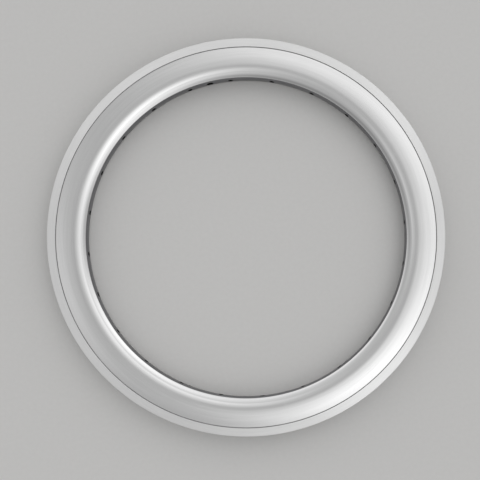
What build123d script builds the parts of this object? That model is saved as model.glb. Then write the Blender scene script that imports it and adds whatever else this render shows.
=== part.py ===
from build123d import *
from math import asin, atan2, degrees, radians, sin, tan
import os

# Deep-section clincher rim for a 20 inch (ISO 406) wheel, in millimetres.
# The axle axis is +Z, the mid-plane is Z = 0 and the valve hole points along +Y.
# In the section sketch, X is the distance from the axle and Y the distance from the mid-plane.

# Tyre channel: hooked flanges, two bead seats and a well between them
bead_seat_diameter = 405.6
flange_height = 6.0
inner_width = 17.0
hook_reach = 1.0
hook_land = 1.4
bead_seat_width = 3.3
well_depth = 4.0
well_slope_width = 1.8
hook_round = 0.45
seat_round = 0.8
well_round = 1.2

# Brake track and the groove at its foot
lip_thickness = 2.7
lip_round = 0.7
track_below_seat = 3.3
groove_width = 0.9
groove_depth = 0.45

# Bulged side: three tangent arcs that turn ever tighter towards the spoke bed
rim_depth = 40.3
crown_turn = 5.0
belly_radius = 45.0
belly_turn = 9.0
shoulder_radius = 13.0
shoulder_turn = 28.0

# Rounded spoke bed
bed_rise = 0.9
crease_round = 1.0

# Walls of the hollow extrusion
side_wall = 1.2
tyre_bed_wall = 1.5
spoke_bed_wall = 2.0
hollow_round = 0.8

# Drilling
spoke_count = 24
spoke_hole_diameter = 4.5
access_hole_diameter = 8.0
valve_hole_diameter = 6.5
valve_angle = 90.0

# Share of a short face that the rounding at one of its ends may take
round_share = 0.55

# Distances from the axle
seat_radius = bead_seat_diameter / 2
outer_radius = seat_radius + flange_height
hook_radius = outer_radius - hook_land - hook_reach
well_radius = seat_radius - well_depth
groove_radius = seat_radius - track_below_seat
side_top_radius = groove_radius - groove_width / 2
crest_radius = outer_radius - rim_depth
crease_radius = crest_radius + bed_rise
floor_radius = crest_radius + spoke_bed_wall
ceiling_radius = seat_radius - tyre_bed_wall
well_ceiling_radius = well_radius - tyre_bed_wall

# Distances from the mid-plane
hook_half = inner_width / 2
half_width = hook_half + lip_thickness
flange_half = hook_half + hook_reach
seat_edge_half = flange_half - bead_seat_width
well_half = seat_edge_half - well_slope_width
wall_half = half_width - side_wall

# The crown arc spans what the belly and the shoulder leave of the side's height
belly_tilt = radians(crown_turn + belly_turn)
shoulder_tilt = belly_tilt + radians(shoulder_turn)
belly_height = belly_radius * (sin(belly_tilt) - sin(radians(crown_turn)))
shoulder_height = shoulder_radius * (sin(shoulder_tilt) - sin(belly_tilt))
crown_height = side_top_radius - crease_radius - belly_height - shoulder_height
crown_radius = crown_height / sin(radians(crown_turn))

# Inside, the shoulder turns on the same centre until it meets the flat floor of the hollow
shoulder_centre = crease_radius + shoulder_radius * sin(shoulder_tilt)
floor_tilt = asin((shoulder_centre - floor_radius) / (shoulder_radius - side_wall))
hollow_turn = degrees(floor_tilt - belly_tilt)

# The tyre bed keeps its thickness down the slope of the well
slope_shift = tyre_bed_wall * tan(atan2(well_depth, well_slope_width) / 2)

# Roundings that a thin wall limits
lip_fillet = min(lip_round, round_share * hook_land, round_share * lip_thickness / 2)
corner_fillet = min(hollow_round, round_share * (ceiling_radius - side_top_radius))


def both_sides(half):
    """The points of the +Y side, with their mirror image before them."""
    return [(x, -y) for x, y in reversed(half)] + half


def both_ways(rounds):
    """The roundings of the +Y side, with the same ones in reverse before them."""
    return list(reversed(rounds)) + rounds


def side_arcs(inset, side, last_turn):
    """The crown, belly and shoulder arcs of one side, inset from its outer face. Returns the shoulder."""
    top = (side_top_radius, side * (half_width - inset))
    crown = JernArc(top, (-1, 0), crown_radius - inset, side * crown_turn)
    belly = JernArc(crown @ 1, crown % 1, belly_radius - inset, side * belly_turn)
    return JernArc(belly @ 1, belly % 1, shoulder_radius - inset, side * last_turn)


with BuildPart() as rim:
    with BuildSketch(Plane.XZ) as section:
        # Outline: the tyre channel, lips, brake tracks and grooves, then both sides and the spoke bed
        with BuildLine():
            channel = [
                (well_radius, well_half),
                (seat_radius, seat_edge_half),
                (seat_radius, flange_half),
                (hook_radius, flange_half),
                (hook_radius + hook_reach, hook_half),
                (outer_radius, hook_half),
                (outer_radius, half_width),
                (groove_radius + groove_width / 2, half_width),
                (groove_radius, half_width - groove_depth),
                (side_top_radius, half_width),
            ]
            flange_rounds = [well_round, seat_round, seat_round, hook_round, hook_round]
            track_rounds = [lip_fillet, lip_fillet, 0, 0]
            FilletPolyline(both_sides(channel), radius=both_ways(flange_rounds + track_rounds))
            top_side = side_arcs(0, 1, shoulder_turn)
            bottom_side = side_arcs(0, -1, shoulder_turn)
            ThreePointArc(top_side @ 1, (crest_radius, 0), bottom_side @ 1)
        make_face()
        creases = section.vertices().group_by(Axis.X)[0]
        fillet(creases, crease_round)

        # Hollow between the tyre bed, the two sides and the spoke bed
        with BuildLine():
            ceiling = [
                (well_ceiling_radius, well_half + slope_shift),
                (ceiling_radius, seat_edge_half + slope_shift),
                (ceiling_radius, wall_half),
                (side_top_radius, wall_half),
            ]
            FilletPolyline(both_sides(ceiling), radius=both_ways([well_round, seat_round, corner_fillet]))
            top_side = side_arcs(side_wall, 1, hollow_turn)
            bottom_side = side_arcs(side_wall, -1, hollow_turn)
            Line(top_side @ 1, bottom_side @ 1)
        make_face(mode=Mode.SUBTRACT)
        floor_ends = section.vertices().sort_by_distance((floor_radius, 0, 0))[:2]
        fillet(floor_ends, hollow_round)
    revolve(axis=Axis.Z)

    # Spoke holes, half a step either side of the valve hole, made by a stepped drill from the tyre side
    radial = Location((0, 0, 0), (0, 90, 0))
    first_spoke = valve_angle + 180 / spoke_count
    with PolarLocations(well_radius, spoke_count, start_angle=first_spoke):
        with Locations(radial):
            CounterBoreHole(
                radius=spoke_hole_diameter / 2,
                counter_bore_radius=access_hole_diameter / 2,
                counter_bore_depth=(well_radius - floor_radius) / 2,
                depth=rim_depth,
            )

    # Valve hole through both walls, drilled from the tyre side
    with PolarLocations(seat_radius, 1, start_angle=valve_angle):
        with Locations(radial):
            Hole(radius=valve_hole_diameter / 2, depth=rim_depth)

rim.part.label = "rim"

os.makedirs("parts", exist_ok=True)
export_step(rim.part, "parts/rim.step")
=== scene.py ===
import math
from functools import partial
from types import SimpleNamespace

import bmesh
import bpy
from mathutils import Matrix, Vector


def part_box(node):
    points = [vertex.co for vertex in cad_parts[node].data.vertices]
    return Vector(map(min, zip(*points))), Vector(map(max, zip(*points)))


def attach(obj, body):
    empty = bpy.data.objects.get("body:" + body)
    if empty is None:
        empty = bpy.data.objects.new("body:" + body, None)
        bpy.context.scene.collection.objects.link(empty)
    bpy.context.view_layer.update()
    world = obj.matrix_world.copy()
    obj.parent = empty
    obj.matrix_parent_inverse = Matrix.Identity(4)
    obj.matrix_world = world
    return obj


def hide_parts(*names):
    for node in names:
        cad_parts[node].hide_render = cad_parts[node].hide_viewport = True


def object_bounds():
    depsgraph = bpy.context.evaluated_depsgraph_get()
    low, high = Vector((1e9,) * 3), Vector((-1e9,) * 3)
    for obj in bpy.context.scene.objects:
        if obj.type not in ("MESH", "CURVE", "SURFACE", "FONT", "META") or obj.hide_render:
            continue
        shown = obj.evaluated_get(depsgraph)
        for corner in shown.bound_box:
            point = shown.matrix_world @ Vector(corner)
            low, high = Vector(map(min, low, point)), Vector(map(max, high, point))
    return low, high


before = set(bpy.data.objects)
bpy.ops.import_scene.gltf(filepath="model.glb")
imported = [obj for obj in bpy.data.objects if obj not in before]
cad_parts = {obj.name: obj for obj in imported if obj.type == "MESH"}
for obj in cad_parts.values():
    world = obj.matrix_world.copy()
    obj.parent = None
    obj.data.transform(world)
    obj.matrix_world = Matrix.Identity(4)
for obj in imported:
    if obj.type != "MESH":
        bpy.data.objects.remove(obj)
cadBox = [list(corner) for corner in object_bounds()]
scene = bpy.context.scene
scene.view_settings.view_transform = "Standard"
mm = 0.001
print("frame loaded, nodes", list(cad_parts))
print("box", [[round(n, 4) for n in corner] for corner in cadBox])


# straight above the lying rim; the picture is a crop, so its middle isn't under the lens
cameraSizes = {
    "place": (0.0210, -0.0523, 0.6813),
    "topTurn": 13.3,                 # degrees from the valve hole to the picture's top, clockwise
    "lens": 48.0,
    "sensor": 36.0,
    "nearest": 0.01,
    "shift": (-0.0772, 0.0863),
}


def makeCamera():
    data = bpy.data.cameras.new("camera")
    data.lens = cameraSizes["lens"]
    data.sensor_width = cameraSizes["sensor"]
    data.clip_start = cameraSizes["nearest"]
    data.shift_x, data.shift_y = cameraSizes["shift"]
    camera = bpy.data.objects.new("camera", data)
    scene.collection.objects.link(camera)
    camera.location = cameraSizes["place"]
    camera.rotation_euler.z = -math.radians(cameraSizes["topTurn"])
    scene.camera = camera


makeCamera()
print("camera made")


# the rim's section, in mm and degrees
rimSizes = {
    "flangeHeight": 6.0,
    "hookLand": 1.4,
    "hookReach": 1.0,
    "lipThickness": 2.7,
    "beadSeatWidth": 3.3,
    "wellDepth": 4.0,
    "wellSlopeWidth": 1.8,
    "trackBelowSeat": 3.3,
    "grooveWidth": 0.9,
    "grooveDepth": 0.45,
    "grooveLand": 1.0,               # flat strip between the groove and the bulge
    "depth": 40.3,
    "crownTurn": 5.0,
    "bellyRadius": 45.0,
    "bellyTurn": 9.0,
    "shoulderRadius": 13.0,
    "shoulderTurn": 28.0,
    "bedRise": 0.9,
    "sideWall": 1.2,
    "tyreBedWall": 1.5,
    "spokeBedWall": 2.0,
    "wellRound": 1.2,
    "seatRound": 0.8,
    "hookRound": 0.45,
    "lipRound": 0.7,
    "lipWear": 0.5,                  # the lip is worn this far in from the outer edge
    "creaseRound": 1.0,
    "grooveEdgeRound": 0.06,
    "grooveFootRound": 0.12,
    "guard": 0.15,                   # a loop this near to each rounding keeps the flats flat
    "guardedFlat": 0.9,              # flats longer than this have such loops
    "segments": 288,
    "sharpCorner": 28.0,             # faces that meet at more than this show a sharp edge
}

# steps of each rounding and arc of the section
arcSteps = {
    "well": 5, "seat": 5, "flange": 6, "hook": 4, "lipInside": 7, "lipOutside": 8,
    "grooveEdge": 3, "grooveFoot": 4,
    "crown": 10, "belly": 8, "shoulder": 14, "crease": 5, "bed": 8, "hollow": 3,
}

# distances from the axle
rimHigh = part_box("rim")[1]
outer = rimHigh.x / mm
lipEdge = outer - rimSizes["lipWear"]
seat = outer - rimSizes["flangeHeight"]
well = seat - rimSizes["wellDepth"]
hook = outer - rimSizes["hookLand"] - rimSizes["hookReach"]
groove = seat - rimSizes["trackBelowSeat"]
trackFoot = groove + rimSizes["grooveWidth"] / 2
sideTop = groove - rimSizes["grooveWidth"] / 2
crest = outer - rimSizes["depth"]
crease = crest + rimSizes["bedRise"]
floorOfHollow = crest + rimSizes["spokeBedWall"]
ceiling = seat - rimSizes["tyreBedWall"]

# distances from the mid-plane
halfWidth = rimHigh.z / mm
hookHalf = halfWidth - rimSizes["lipThickness"]
flangeHalf = hookHalf + rimSizes["hookReach"]
seatHalf = flangeHalf - rimSizes["beadSeatWidth"]
wellHalf = seatHalf - rimSizes["wellSlopeWidth"]


def onNormal(tilt):
    return Vector((-math.sin(tilt), math.cos(tilt)))   # outward from a side tilted that much


def sideCircles():
    crownTilt = math.radians(rimSizes["crownTurn"])
    bellyTilt = crownTilt + math.radians(rimSizes["bellyTurn"])
    shoulderTilt = bellyTilt + math.radians(rimSizes["shoulderTurn"])
    belly, shoulder = rimSizes["bellyRadius"], rimSizes["shoulderRadius"]
    height = sideTop - crease - belly * (math.sin(bellyTilt) - math.sin(crownTilt))
    height -= shoulder * (math.sin(shoulderTilt) - math.sin(bellyTilt))
    crown = height / math.sin(crownTilt)
    crownAt = Vector((sideTop, halfWidth)) - onNormal(0) * crown
    bellyAt = crownAt + onNormal(crownTilt) * (crown - belly)
    shoulderAt = bellyAt + onNormal(bellyTilt) * (belly - shoulder)
    creaseAt = shoulderAt + onNormal(shoulderTilt) * shoulder
    bed = (creaseAt.y ** 2 + rimSizes["bedRise"] ** 2) / (2 * rimSizes["bedRise"])
    bedAt = Vector((crest + bed, 0))
    # the rounding of the crease has its centre where circles inside both arcs cross
    inShoulder, inBed = shoulder - rimSizes["creaseRound"], bed - rimSizes["creaseRound"]
    apart = bedAt - shoulderAt
    along = (inShoulder ** 2 - inBed ** 2 + apart.length ** 2) / (2 * apart.length)
    across = math.sqrt(inShoulder ** 2 - along ** 2)
    unit = apart.normalized()
    roundAt = shoulderAt + unit * along + Vector((-unit.y, unit.x)) * across
    fromShoulder, fromBed = roundAt - shoulderAt, roundAt - bedAt
    startTilt = math.atan2(-fromShoulder.x, fromShoulder.y)
    endTilt = math.atan2(-fromBed.x, fromBed.y)
    return [                         # centre, radius, first tilt, last tilt, steps
        (crownAt, crown, 0.0, crownTilt, arcSteps["crown"]),
        (bellyAt, belly, crownTilt, bellyTilt, arcSteps["belly"]),
        (shoulderAt, shoulder, bellyTilt, startTilt, arcSteps["shoulder"]),
        (roundAt, rimSizes["creaseRound"], startTilt, endTilt, arcSteps["crease"]),
        (bedAt, bed, endTilt, math.pi / 2, arcSteps["bed"]),
    ]


def arcPoints(centre, radius, first, last, steps):
    return [centre + onNormal(first + (last - first) * i / steps) * radius for i in range(1, steps + 1)]


def cornerArc(before, corner, after, radius, steps):
    toBefore, toAfter = (before - corner).normalized(), (after - corner).normalized()
    half = toBefore.angle(toAfter) / 2
    centre = corner + (toBefore + toAfter).normalized() * (radius / math.sin(half))
    start = corner + toBefore * (radius / math.tan(half)) - centre
    end = corner + toAfter * (radius / math.tan(half)) - centre
    first = math.atan2(start.y, start.x)
    turn = (math.atan2(end.y, end.x) - first + math.pi) % (2 * math.pi) - math.pi
    angles = [first + turn * i / steps for i in range(steps + 1)]
    return [centre + Vector((math.cos(a), math.sin(a))) * radius for a in angles]


def roundedRun(corners):
    places = [Vector(place) for place, _, _ in corners]
    run = [places[0]]
    for i in range(1, len(corners) - 1):
        _, radius, steps = corners[i]
        run += cornerArc(places[i - 1], places[i], places[i + 1], radius, steps)
    run.append(places[-1])
    guarded = [run[0]]
    for a, b in zip(run, run[1:]):   # loops beside the roundings
        if (b - a).length > rimSizes["guardedFlat"]:
            step = (b - a).normalized() * rimSizes["guard"]
            guarded += [a + step, b - step]
        guarded.append(b)
    return guarded


def outlineHalf():
    corners = [                      # place, rounding, steps
        ((well, 0), 0, 0),
        ((well, wellHalf), rimSizes["wellRound"], arcSteps["well"]),
        ((seat, seatHalf), rimSizes["seatRound"], arcSteps["seat"]),
        ((seat, flangeHalf), rimSizes["seatRound"], arcSteps["flange"]),
        ((hook, flangeHalf), rimSizes["hookRound"], arcSteps["hook"]),
        ((hook + rimSizes["hookReach"], hookHalf), rimSizes["hookRound"], arcSteps["hook"]),
        ((outer, hookHalf), rimSizes["lipRound"], arcSteps["lipInside"]),
        ((outer, halfWidth), rimSizes["lipRound"], arcSteps["lipOutside"]),
        ((trackFoot, halfWidth), rimSizes["grooveEdgeRound"], arcSteps["grooveEdge"]),
        ((groove, halfWidth - rimSizes["grooveDepth"]), rimSizes["grooveFootRound"], arcSteps["grooveFoot"]),
        ((sideTop, halfWidth), rimSizes["grooveEdgeRound"], arcSteps["grooveEdge"]),
        ((sideTop - rimSizes["grooveLand"], halfWidth), 0, 0),
    ]
    run = roundedRun(corners)[:-1]   # the arcs go on from the loop before the strip's end
    for circle in sideCircles():
        run += arcPoints(*circle)
    return run


def hollowHalf():
    wall, bedWall = rimSizes["sideWall"], rimSizes["tyreBedWall"]
    slope = bedWall * math.tan(math.atan2(rimSizes["wellDepth"], rimSizes["wellSlopeWidth"]) / 2)
    corners = [
        ((well - bedWall, 0), 0, 0),
        ((well - bedWall, wellHalf + slope), rimSizes["wellRound"], arcSteps["hollow"]),
        ((ceiling, seatHalf + slope), rimSizes["seatRound"], arcSteps["hollow"]),
        ((ceiling, halfWidth - wall), rimSizes["seatRound"], arcSteps["hollow"]),
        ((sideTop, halfWidth - wall), 0, 0),
    ]
    run = roundedRun(corners)
    crown, belly, (shoulderAt, shoulder, first, _, steps) = sideCircles()[:3]
    floorTilt = math.asin((shoulderAt.x - floorOfHollow) / (shoulder - wall))   # ends on the flat floor
    for centre, radius, start, end, count in (crown, belly, (shoulderAt, shoulder, first, floorTilt, steps)):
        run += arcPoints(centre, radius - wall, start, end, count // 2)
    run.append(Vector((floorOfHollow, 0)))
    return run


def loopCurve(name, half):
    tiny = 1e-6                      # points on the mid-plane aren't doubled
    points = half + [Vector((p.x, -p.y)) for p in reversed(half) if abs(p.y) > tiny]
    data = bpy.data.curves.new(name, "CURVE")
    data.dimensions = "3D"
    spline = data.splines.new("POLY")
    spline.points.add(len(points) - 1)
    for target, p in zip(spline.points, points):
        target.co = ((p.x - crest) * mm, p.y * mm, 0, 1)
    spline.use_cyclic_u = True
    curve = bpy.data.objects.new(name, data)
    scene.collection.objects.link(curve)
    return curve


# drills, in mm; a flare is its radius, and where it starts and ends about the face of its wall
drillSizes = {
    "spokeCount": 24,
    "valveAngle": 90.0,
    "sides": 32,
    "beforeCrest": 8.0,
    "pastOuter": 5.0,
    "stepAt": 184.0,                 # from the axle, inside the hollow
    "stepLength": 0.1,
    "spoke": {"bed": 2.25, "bedFlare": (2.8, -0.3, 0.45), "tyre": 4.0, "tyreFlare": (4.3, -0.35, 0.25)},
    "valve": {"bed": 3.25, "bedFlare": (3.85, -0.3, 0.5), "tyre": 3.25, "tyreFlare": (3.6, -0.4, 0.3)},
}
drillTip = crest - drillSizes["beforeCrest"]
drillEnd = outer + drillSizes["pastOuter"]
stepEnd = drillSizes["stepAt"] + drillSizes["stepLength"]


def drillSteps(hole):
    bedFlare, bedStart, bedEnd = hole["bedFlare"]
    tyreFlare, tyreStart, tyreEnd = hole["tyreFlare"]
    return [                         # distance from the axle, radius there
        (drillTip, bedFlare),
        (crest + bedStart, bedFlare),
        (crest + bedEnd, hole["bed"]),
        (drillSizes["stepAt"], hole["bed"]),
        (stepEnd, hole["tyre"]),
        (well + tyreStart, hole["tyre"]),
        (well + tyreEnd, tyreFlare),
        (drillEnd, tyreFlare),
    ]


def drillObject(name, steps):
    sides = drillSizes["sides"]
    bm = bmesh.new()
    rings = []
    for along, radius in steps:
        ring = []
        for i in range(sides):
            a = 2 * math.pi * (i + 0.5) / sides
            ring.append(bm.verts.new((along * mm, radius * mm * math.cos(a), radius * mm * math.sin(a))))
        rings.append(ring)
    for low, high in zip(rings, rings[1:]):
        for i in range(sides):
            j = (i + 1) % sides
            bm.faces.new((low[i], low[j], high[j], high[i]))
    bm.faces.new(rings[0])
    bm.faces.new(rings[-1])
    bmesh.ops.recalc_face_normals(bm, faces=bm.faces)
    mesh = bpy.data.meshes.new(name)
    bm.to_mesh(mesh)
    bm.free()
    drill = bpy.data.objects.new(name, mesh)
    scene.collection.objects.link(drill)
    return drill


# node helpers: an input given a socket or a list of them is linked, and one given a value is set
def feed(tree, node, inputs):
    for key, value in inputs.items():
        for source in (value if isinstance(value, list) else [value]):
            if isinstance(source, bpy.types.NodeSocket):
                tree.links.new(source, node.inputs[key])
            else:
                node.inputs[key].default_value = source


def addNode(tree, kind, inputs, **settings):
    node = tree.nodes.new(kind)
    for name, value in settings.items():
        setattr(node, name, value)
    feed(tree, node, inputs)
    return node


def number(tree, operation, *values):
    return addNode(tree, "ShaderNodeMath", dict(enumerate(values)), operation=operation).outputs[0]


def xyz(tree, *values):
    return addNode(tree, "ShaderNodeCombineXYZ", dict(enumerate(values))).outputs[0]


def noise(tree, place, scale, detail):
    inputs = {"Vector": place, "Scale": scale, "Detail": detail}
    return addNode(tree, "ShaderNodeTexNoise", inputs).outputs["Fac"]


def between(tree, value, low, high, atLow=0.0, atHigh=1.0):
    levels = {"Value": value, "From Min": low, "From Max": high, "To Min": atLow, "To Max": atHigh}
    return addNode(tree, "ShaderNodeMapRange", levels, interpolation_type="SMOOTHSTEP").outputs["Result"]


def patches(tree, place, scale, detail, low, high):
    return between(tree, noise(tree, place, scale, detail), low, high)


def mixColour(tree, share, atNone, atFull):
    inputs = {0: share, 6: (*atNone, 1), 7: (*atFull, 1)}   # the node's colour sockets go by number
    return addNode(tree, "ShaderNodeMix", inputs, data_type="RGBA").outputs[2]


def aboutAxle(tree, place):
    x, y, z = addNode(tree, "ShaderNodeSeparateXYZ", {0: place}).outputs
    squares = number(tree, "ADD", number(tree, "MULTIPLY", x, x), number(tree, "MULTIPLY", y, y))
    return x, y, z, number(tree, "SQRT", squares)


# finishes of the bare metal, with light and deep lines round the hoop; widths and depths are in mm; the
# groove, spoke bed, hollow and spoke hole walls are darkened with painted shade
# a greater lineReach has shorter lines, scuffs are leans in degrees, wornEdges are distances from the axle
finishLooks = {
    "tyreChannel": {
        "light": (0.66, 0.66, 0.655), "deep": (0.50, 0.50, 0.50), "roughness": 0.38, "brushed": 0.3,
        "lineWidth": 0.35, "lineReach": 5, "lineRough": 0.16, "lineDepth": 0.004,
        "smudge": 0.10, "scuffs": (), "wornEdges": (), "seam": 0.5},
    "brakeTrack": {
        "light": (0.97, 0.97, 0.965), "deep": (0.90, 0.90, 0.90), "roughness": 0.32, "brushed": 0.96,
        "lineWidth": 0.28, "lineReach": 9, "lineRough": 0.14, "lineDepth": 0.0025,
        "smudge": 0.06, "scuffs": (31,), "wornEdges": (trackFoot, lipEdge), "seam": 0.0},
    # the groove's dark colour is painted shade: the metal is darkened to stand in for the shade in the recess
    "trackGroovePaintedShade": {
        "light": (0.36, 0.36, 0.36), "deep": (0.16, 0.16, 0.16), "roughness": 0.34, "brushed": 0.3,
        "lineWidth": 0.2, "lineReach": 14, "lineRough": 0.2, "lineDepth": 0.002,
        "smudge": 0.14, "scuffs": (), "wornEdges": (), "seam": 0.0},
    "polishedSide": {
        "light": (0.85, 0.85, 0.85), "deep": (0.79, 0.79, 0.79), "roughness": 0.07, "brushed": 0.25,
        "lineWidth": 0.6, "lineReach": 3, "lineRough": 0.04, "lineDepth": 0.0008,
        "smudge": 0.07, "scuffs": (24, 71, 128), "wornEdges": (sideTop, crease), "seam": 0.9},
    # the spoke bed's colour is a satin finish darkened with painted shade, standing in for the dark
    # surroundings it reflects
    "spokeBedPaintedShade": {
        "light": (0.29, 0.29, 0.30), "deep": (0.19, 0.19, 0.20), "roughness": 0.32, "brushed": 0.3,
        "lineWidth": 0.4, "lineReach": 4, "lineRough": 0.12, "lineDepth": 0.003,
        "smudge": 0.10, "scuffs": (), "wornEdges": (), "seam": 0.6},
    # the hollow's near-black colour is painted shade, standing in for the dark inside of the closed hollow
    "hollowWallPaintedShade": {
        "light": (0.08, 0.08, 0.08), "deep": (0.04, 0.04, 0.04), "roughness": 0.5, "brushed": 0.2,
        "lineWidth": 0.5, "lineReach": 4, "lineRough": 0.15, "lineDepth": 0.006,
        "smudge": 0.15, "scuffs": (), "wornEdges": (), "seam": 0.0},
    # the spoke hole walls' near-black colour is painted shade, so that the holes look dark
    "spokeHoleWallPaintedShade": {
        "light": (0.05, 0.05, 0.05), "deep": (0.02, 0.02, 0.02), "roughness": 0.5, "brushed": 0.2,
        "lineWidth": 0.15, "lineReach": 30, "lineRough": 0.2, "lineDepth": 0.004,
        "smudge": 0.08, "scuffs": (), "wornEdges": (), "seam": 0.0},
    "accessHoleWall": {
        "light": (0.62, 0.62, 0.615), "deep": (0.40, 0.40, 0.40), "roughness": 0.34, "brushed": 0.2,
        "lineWidth": 0.15, "lineReach": 30, "lineRough": 0.2, "lineDepth": 0.004,
        "smudge": 0.08, "scuffs": (), "wornEdges": (), "seam": 0.0},
}
zoneNumbers = {name: i for i, name in enumerate(finishLooks)}
hoopMap = "hoopMap"

# shared by all finishes; a noise is its scale and detail, then the levels where a patch starts and is full
metalWear = {
    "sideShift": 17.0,               # the two sides don't mirror each other
    "acrossLines": 0.25,             # a quarter turn: highlights spread across the lines
    "noiseMiddle": 0.5,
    "lines": (1.0, 2.0),
    "broadLines": (6.0, 0.6),        # width and reach of the broad lines, times the fine ones'
    "toneShares": (0.5, 0.35, 0.15),   # of fine lines, broad lines and clouds
    "toneLevels": (0.30, 0.70),
    "cloud": (34.0, 5.0),
    "smear": (9.0, 3.0, 0.42, 0.68),
    "scuffSize": (5.0, 0.16),        # length and width, mm
    "scuff": (1.0, 0.0, 0.70, 0.78),
    "scuffPatch": (26.0, 1.0, 0.46, 0.62),
    "scuffRough": 0.12,
    "scuffHeight": -0.8,
    "wornReach": (0.45, 0.05),       # mm from the edge, where wear starts and is full
    "wornPatch": (120.0, 3.0, 0.38, 0.60),
    "wornRough": 0.08,
    "seamReach": (0.35, 0.10),       # mm from the seam, likewise
    "seamFade": (0.3, 1.0),          # strength at the crest and at the groove
    "seamRough": 0.2,
    "seamHeight": -4.0,
}


def metalSpot(tree):
    place = tree.nodes.new("ShaderNodeTexCoord").outputs["Object"]
    x, y, z, fromAxle = aboutAxle(tree, place)
    across = number(tree, "ADD", fromAxle, number(tree, "ABSOLUTE", z))
    side = number(tree, "MULTIPLY", number(tree, "SIGN", z), metalWear["sideShift"])
    return SimpleNamespace(place=place, x=x, y=y, fromAxle=fromAxle, across=across, side=side)


def ringLines(tree, spot, width, reach):
    calc = partial(number, tree)
    level = xyz(tree, calc("MULTIPLY_ADD", calc("DIVIDE", spot.x, spot.fromAxle), reach, spot.side),
                calc("MULTIPLY", calc("DIVIDE", spot.y, spot.fromAxle), reach),
                calc("MULTIPLY", spot.across, 1 / (width * mm)))
    return noise(tree, level, *metalWear["lines"])


def scuffMarks(tree, spot, lean):    # short and straight, from handling, in patches
    calc = partial(number, tree)
    c, s = math.cos(math.radians(lean)), math.sin(math.radians(lean))
    length, width = (size * mm for size in metalWear["scuffSize"])
    along = calc("ADD", calc("MULTIPLY", spot.x, c / length), calc("MULTIPLY", spot.y, s / length))
    aside = calc("ADD", calc("MULTIPLY", spot.x, -s / width), calc("MULTIPLY", spot.y, c / width))
    marks = patches(tree, xyz(tree, along, aside, calc("ADD", spot.side, lean)), *metalWear["scuff"])
    handled = patches(tree, xyz(tree, spot.x, spot.y, spot.side), *metalWear["scuffPatch"])
    return calc("MULTIPLY", marks, handled)


def wornEdge(tree, spot, edge):      # bright where it has been rubbed
    off = number(tree, "ABSOLUTE", number(tree, "SUBTRACT", spot.fromAxle, edge * mm))
    worn = between(tree, off, *(reach * mm for reach in metalWear["wornReach"]))
    return number(tree, "MULTIPLY", worn, patches(tree, spot.place, *metalWear["wornPatch"]))


def seamLine(tree, spot):            # hairline of the ground weld, opposite the valve hole
    line = between(tree, number(tree, "ABSOLUTE", spot.x), *(reach * mm for reach in metalWear["seamReach"]))
    line = number(tree, "MULTIPLY", line, number(tree, "LESS_THAN", spot.y, 0.0))
    fade = between(tree, spot.fromAxle, crest * mm, sideTop * mm, *metalWear["seamFade"])
    return number(tree, "MULTIPLY", line, fade)


def metalFinish(name, look):
    finish = bpy.data.materials.new(name)
    finish.use_nodes = True
    tree = finish.node_tree
    calc = partial(number, tree)
    spot = metalSpot(tree)
    timesWidth, timesReach = metalWear["broadLines"]
    fine = ringLines(tree, spot, look["lineWidth"], look["lineReach"])
    broad = ringLines(tree, spot, look["lineWidth"] * timesWidth, look["lineReach"] * timesReach)
    cloud = noise(tree, spot.place, *metalWear["cloud"])
    smear = patches(tree, spot.place, *metalWear["smear"])

    # lighter and darker lines, a broad drift and faint clouding
    fineShare, broadShare, cloudShare = metalWear["toneShares"]
    drift = calc("MULTIPLY_ADD", broad, broadShare, calc("MULTIPLY", cloud, cloudShare))
    tone = between(tree, calc("MULTIPLY_ADD", fine, fineShare, drift), *metalWear["toneLevels"])
    aboutMiddle = calc("SUBTRACT", fine, metalWear["noiseMiddle"])
    rough = calc("MULTIPLY_ADD", aboutMiddle, look["lineRough"], look["roughness"])
    rough = calc("MULTIPLY_ADD", calc("MULTIPLY", cloud, smear), look["smudge"], rough)
    height = fine

    for lean in look["scuffs"]:
        scuff = scuffMarks(tree, spot, lean)
        rough = calc("MULTIPLY_ADD", scuff, metalWear["scuffRough"], rough)
        height = calc("MULTIPLY_ADD", scuff, metalWear["scuffHeight"], height)
    for edge in look["wornEdges"]:
        worn = wornEdge(tree, spot, edge)
        tone = calc("MAXIMUM", tone, worn)
        rough = calc("MULTIPLY_ADD", worn, metalWear["wornRough"], rough)
    if look["seam"]:
        line = seamLine(tree, spot)
        tone = calc("MULTIPLY_ADD", line, look["seam"], tone)
        rough = calc("MULTIPLY_ADD", line, metalWear["seamRough"] * look["seam"], rough)
        height = calc("MULTIPLY_ADD", line, metalWear["seamHeight"] * look["seam"], height)

    bumps = {"Strength": 1.0, "Distance": look["lineDepth"] * mm, "Height": height}
    feed(tree, tree.nodes["Principled BSDF"], {
        "Base Color": mixColour(tree, tone, look["deep"], look["light"]),
        "Metallic": 1.0,
        "Roughness": rough,
        "Normal": addNode(tree, "ShaderNodeBump", bumps).outputs["Normal"],
        "Anisotropic": look["brushed"],
        "Anisotropic Rotation": metalWear["acrossLines"],
        "Tangent": addNode(tree, "ShaderNodeTangent", {}, direction_type="UV_MAP", uv_map=hoopMap).outputs[0],
    })
    return finish


finishes = {name: metalFinish(name, look) for name, look in finishLooks.items()}
print("finishes made,", len(finishes))


# both outlines swept round, the drills taken out of them, a finish for each zone
beyond, clear = 1.0, 0.6             # mm past the metal's own faces, and mm off the next zone
zoneWindows = {                      # nearest and farthest from the axle, then from the mid-plane, mm
    "brakeTrack": (trackFoot, outer + beyond, hookHalf + clear, halfWidth + beyond),
    "trackGroovePaintedShade": (sideTop, trackFoot, halfWidth - clear, halfWidth + beyond),
    "polishedSide": (crease, sideTop, wellHalf + clear, halfWidth + beyond),
    "spokeBedPaintedShade": (crest - beyond, crease, -beyond, halfWidth),
}
accessWindow = (stepEnd, drillEnd, -beyond, halfWidth)
hoopInputs = {
    "Outline": "Object", "Hollow": "Object", "Spoke Drill": "Object", "Valve Drill": "Object",
    "Hoop Radius": "Float", "Segments": "Int", "Spoke Count": "Int", "Valve Angle": "Float",
}


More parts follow.
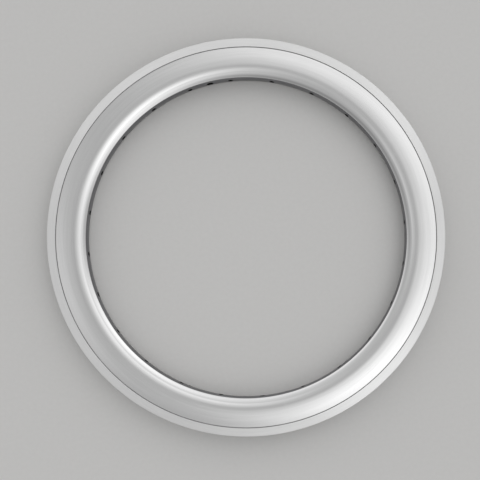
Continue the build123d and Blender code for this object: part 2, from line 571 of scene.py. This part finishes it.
def insideWindow(tree, nearest, farthest, lowest, highest):
    calc = partial(number, tree)
    _, _, z, fromAxle = aboutAxle(tree, tree.nodes.new("GeometryNodeInputPosition").outputs[0])
    fromMiddle = calc("ABSOLUTE", z)
    inside = 1
    for value, low, high in ((fromAxle, nearest, farthest), (fromMiddle, lowest, highest)):
        within = calc("MULTIPLY", calc("GREATER_THAN", value, low * mm), calc("LESS_THAN", value, high * mm))
        inside = calc("MULTIPLY", inside, within)
    return inside


def zoned(tree, shape, zone, window=None):
    inputs = {"Geometry": shape, "Name": "zone", "Value": zoneNumbers[zone]}
    if window:
        inputs["Selection"] = insideWindow(tree, *window)
    return addNode(tree, "GeometryNodeStoreNamedAttribute", inputs, data_type="INT", domain="FACE").outputs[0]


def objectShape(tree, given):
    return addNode(tree, "GeometryNodeObjectInfo", {"Object": given}).outputs["Geometry"]


def swept(tree, circle, loop):
    inputs = {"Curve": circle.outputs["Curve"], "Profile Curve": objectShape(tree, loop)}
    return addNode(tree, "GeometryNodeCurveToMesh", inputs).outputs["Mesh"]


def tubeShape(tree, given):
    circle = addNode(tree, "GeometryNodeCurvePrimitiveCircle", {
        "Resolution": given["Segments"], "Radius": given["Hoop Radius"]})
    body = zoned(tree, swept(tree, circle, given["Outline"]), "tyreChannel")
    for zone, window in zoneWindows.items():
        body = zoned(tree, body, zone, window)
    # the hollow's walls get the near-black finish that is painted shade
    hollow = zoned(tree, swept(tree, circle, given["Hollow"]), "hollowWallPaintedShade")
    inward = addNode(tree, "GeometryNodeFlipFaces", {"Mesh": hollow}).outputs[0]
    return addNode(tree, "GeometryNodeJoinGeometry", {0: [inward, body]}).outputs[0]


def drillShapes(tree, given):
    # one drill for each spoke hole, half a step either side of the valve hole
    step = number(tree, "DIVIDE", 2 * math.pi, given["Spoke Count"])
    halfOn = number(tree, "ADD", tree.nodes.new("GeometryNodeInputIndex").outputs[0], 0.5)
    angle = number(tree, "MULTIPLY_ADD", halfOn, step, given["Valve Angle"])
    spokes = addNode(tree, "GeometryNodeInstanceOnPoints", {
        "Points": addNode(tree, "GeometryNodePoints", {"Count": given["Spoke Count"]}).outputs[0],
        "Instance": objectShape(tree, given["Spoke Drill"]),
        "Rotation": xyz(tree, 0, 0, angle),
    }).outputs[0]
    valve = addNode(tree, "GeometryNodeTransform", {
        "Geometry": objectShape(tree, given["Valve Drill"]),
        "Rotation": xyz(tree, 0, 0, given["Valve Angle"]),
    }).outputs[0]
    drills = addNode(tree, "GeometryNodeJoinGeometry", {0: [valve, spokes]}).outputs[0]
    drills = addNode(tree, "GeometryNodeRealizeInstances", {0: drills}).outputs[0]
    holes = zoned(tree, drills, "spokeHoleWallPaintedShade")
    return zoned(tree, holes, "accessHoleWall", accessWindow)   # those in the tyre bed keep a light metal colour; the spoke hole walls are dark with painted shade


def smoothed(tree, shape):
    # smooth all over, with sharp edges only where two faces meet at a real corner
    smooth = addNode(tree, "GeometryNodeSetShadeSmooth", {"Geometry": shape}).outputs[0]
    corner = tree.nodes.new("GeometryNodeInputMeshEdgeAngle").outputs["Unsigned Angle"]
    sharp = number(tree, "GREATER_THAN", corner, math.radians(rimSizes["sharpCorner"]))
    inputs = {"Geometry": smooth, "Selection": sharp, "Shade Smooth": False}
    return addNode(tree, "GeometryNodeSetShadeSmooth", inputs, domain="EDGE").outputs[0]


def painted(tree, shape):
    shape = addNode(tree, "GeometryNodeRealizeInstances", {0: shape}).outputs[0]
    zone = addNode(tree, "GeometryNodeInputNamedAttribute", {"Name": "zone"}, data_type="INT").outputs[0]
    for name, finish in finishes.items():
        here = number(tree, "COMPARE", zone, zoneNumbers[name], 0.5)
        inputs = {"Geometry": shape, "Selection": here, "Material": finish}
        shape = addNode(tree, "GeometryNodeSetMaterial", inputs).outputs[0]
    return shape


def hoopTree():
    tree = bpy.data.node_groups.new("rimHoop", "GeometryNodeTree")
    tree.interface.new_socket("Geometry", in_out="INPUT", socket_type="NodeSocketGeometry")
    for name, kind in hoopInputs.items():
        tree.interface.new_socket(name, in_out="INPUT", socket_type="NodeSocket" + kind)
    tree.interface.new_socket("Geometry", in_out="OUTPUT", socket_type="NodeSocketGeometry")
    given = tree.nodes.new("NodeGroupInput").outputs
    cut = addNode(tree, "GeometryNodeMeshBoolean", {}, operation="DIFFERENCE", solver="MANIFOLD")
    feed(tree, cut, {"Mesh 1": tubeShape(tree, given), "Mesh 2": drillShapes(tree, given)})
    addNode(tree, "NodeGroupOutput", {0: painted(tree, smoothed(tree, cut.outputs["Mesh"]))})
    return tree


def makeRim():
    helpers = {
        "Outline": loopCurve("outlineLoop", outlineHalf()),
        "Hollow": loopCurve("hollowLoop", hollowHalf()),
        "Spoke Drill": drillObject("spokeDrill", drillSteps(drillSizes["spoke"])),
        "Valve Drill": drillObject("valveDrill", drillSteps(drillSizes["valve"])),
    }
    values = {
        **helpers,
        "Hoop Radius": crest * mm,
        "Segments": rimSizes["segments"],
        "Spoke Count": drillSizes["spokeCount"],
        "Valve Angle": math.radians(drillSizes["valveAngle"]),
    }
    host = bpy.data.objects.new("rimHost", bpy.data.meshes.new("rimHost"))
    scene.collection.objects.link(host)
    modifier = host.modifiers.new("hoop", "NODES")
    modifier.node_group = hoopTree()
    for socket in modifier.node_group.interface.items_tree:
        if socket.in_out == "INPUT" and socket.name in values:
            modifier[socket.identifier] = values[socket.name]
    shown = host.evaluated_get(bpy.context.evaluated_depsgraph_get())
    mesh = bpy.data.meshes.new_from_object(shown)
    host.modifiers.clear()
    for helper in (host, *helpers.values()):
        bpy.data.objects.remove(helper)
    mesh.name = "rimShell"
    rim = bpy.data.objects.new("rimShell", mesh)
    scene.collection.objects.link(rim)
    return rim


def mapRound(mesh):
    layer = mesh.uv_layers.new(name=hoopMap)
    middle = (outer + crest) / 2 * mm
    for polygon in mesh.polygons:
        centre = math.atan2(polygon.center.y, polygon.center.x)
        for i in polygon.loop_indices:
            place = mesh.vertices[mesh.loops[i].vertex_index].co
            turn = math.atan2(place.y, place.x) - centre
            turn = centre + (turn + math.pi) % (2 * math.pi) - math.pi
            across = math.atan2(place.z, math.hypot(place.x, place.y) - middle)
            layer.uv[i].vector = (turn / (2 * math.pi) + 0.5, across / (2 * math.pi) + 0.5)


rim = makeRim()
mapRound(rim.data)
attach(rim, "root")
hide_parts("rim")
print("rim made,", len(rim.data.polygons), "faces,", len(rim.data.vertices), "points")


# pale floor under the rim
floorLook = {
    "half": 40.0,                    # metres
    "colour": (0.71, 0.705, 0.695),
    "mottle": 0.02,                  # lighter and darker by this much
    "fibre": (240.0, 2.0),           # scale and detail of its noise
    "roughness": 0.9,
}


def makeFloor():
    bm = bmesh.new()
    bmesh.ops.create_grid(bm, x_segments=2, y_segments=2, size=floorLook["half"])
    mesh = bpy.data.meshes.new("floor")
    bm.to_mesh(mesh)
    bm.free()
    floor = bpy.data.objects.new("floor", mesh)
    floor.location.z = cadBox[0][2]
    scene.collection.objects.link(floor)
    paper = bpy.data.materials.new("floorPaper")
    paper.use_nodes = True
    tree = paper.node_tree
    fibre = noise(tree, tree.nodes.new("ShaderNodeTexCoord").outputs["Object"], *floorLook["fibre"])
    darker = [c - floorLook["mottle"] for c in floorLook["colour"]]
    lighter = [c + floorLook["mottle"] for c in floorLook["colour"]]
    feed(tree, tree.nodes["Principled BSDF"], {
        "Base Color": mixColour(tree, fibre, darker, lighter), "Roughness": floorLook["roughness"]})
    mesh.materials.append(paper)


# soft studio: an even dome with a few large soft lamps round it
studioLight = {
    "dome": [                        # height from 0 to 1, level
        (0.0, 0.46), (0.22, 0.42), (0.45, 0.34), (0.67, 0.27),
        (0.85, 0.41), (0.93, 0.41), (0.985, 0.29), (1.0, 0.25),
    ],
    "lamps": [                       # degrees clockwise from the picture's top, degrees up, tightness, level
        (315, 8, 5, 0.62),
        (0, 35, 10, 0.36),
        (45, 35, 10, 0.92),
        (135, 35, 10, 0.60),
        (128, 68, 16, 0.50),
        (0, 74, 90, 0.36),
        (45, 74, 90, 0.40),
        (270, 74, 90, 0.27),
        (118, 77, 90, 0.40),
        (150, 84, 150, 0.42),
    ],
}


def lampWay(clockwise, up):
    angle = math.radians(90 - cameraSizes["topTurn"] - clockwise)
    level = Vector((math.cos(angle), math.sin(angle), 0))
    return level * math.cos(math.radians(up)) + Vector((0, 0, math.sin(math.radians(up))))


def makeSky():
    world = bpy.data.worlds.new("studio")
    scene.world = world
    world.use_nodes = True
    tree = world.node_tree
    way = tree.nodes.new("ShaderNodeTexCoord").outputs["Generated"]
    upward = addNode(tree, "ShaderNodeSeparateXYZ", {0: way}).outputs["Z"]
    ramp = addNode(tree, "ShaderNodeValToRGB", {"Fac": upward})
    stops = ramp.color_ramp.elements
    lowest, *others, highest = studioLight["dome"]
    for stop, (at, level) in zip((stops[0], stops[1]), (lowest, highest)):
        stop.position = at
        stop.color = (level, level, level, 1)
    for at, level in others:
        stops.new(at).color = (level, level, level, 1)
    total = ramp.outputs["Color"]
    for clockwise, up, tight, level in studioLight["lamps"]:
        inputs = {0: way, 1: lampWay(clockwise, up)}
        facing = addNode(tree, "ShaderNodeVectorMath", inputs, operation="DOT_PRODUCT").outputs["Value"]
        glow = number(tree, "EXPONENT", number(tree, "MULTIPLY_ADD", facing, tight, -tight))
        inputs = {0: glow, 1: (level, level, level), 2: total}
        total = addNode(tree, "ShaderNodeVectorMath", inputs, operation="MULTIPLY_ADD").outputs["Vector"]
    feed(tree, tree.nodes["Background"], {"Color": total})


makeFloor()
makeSky()
print("floor and light made")
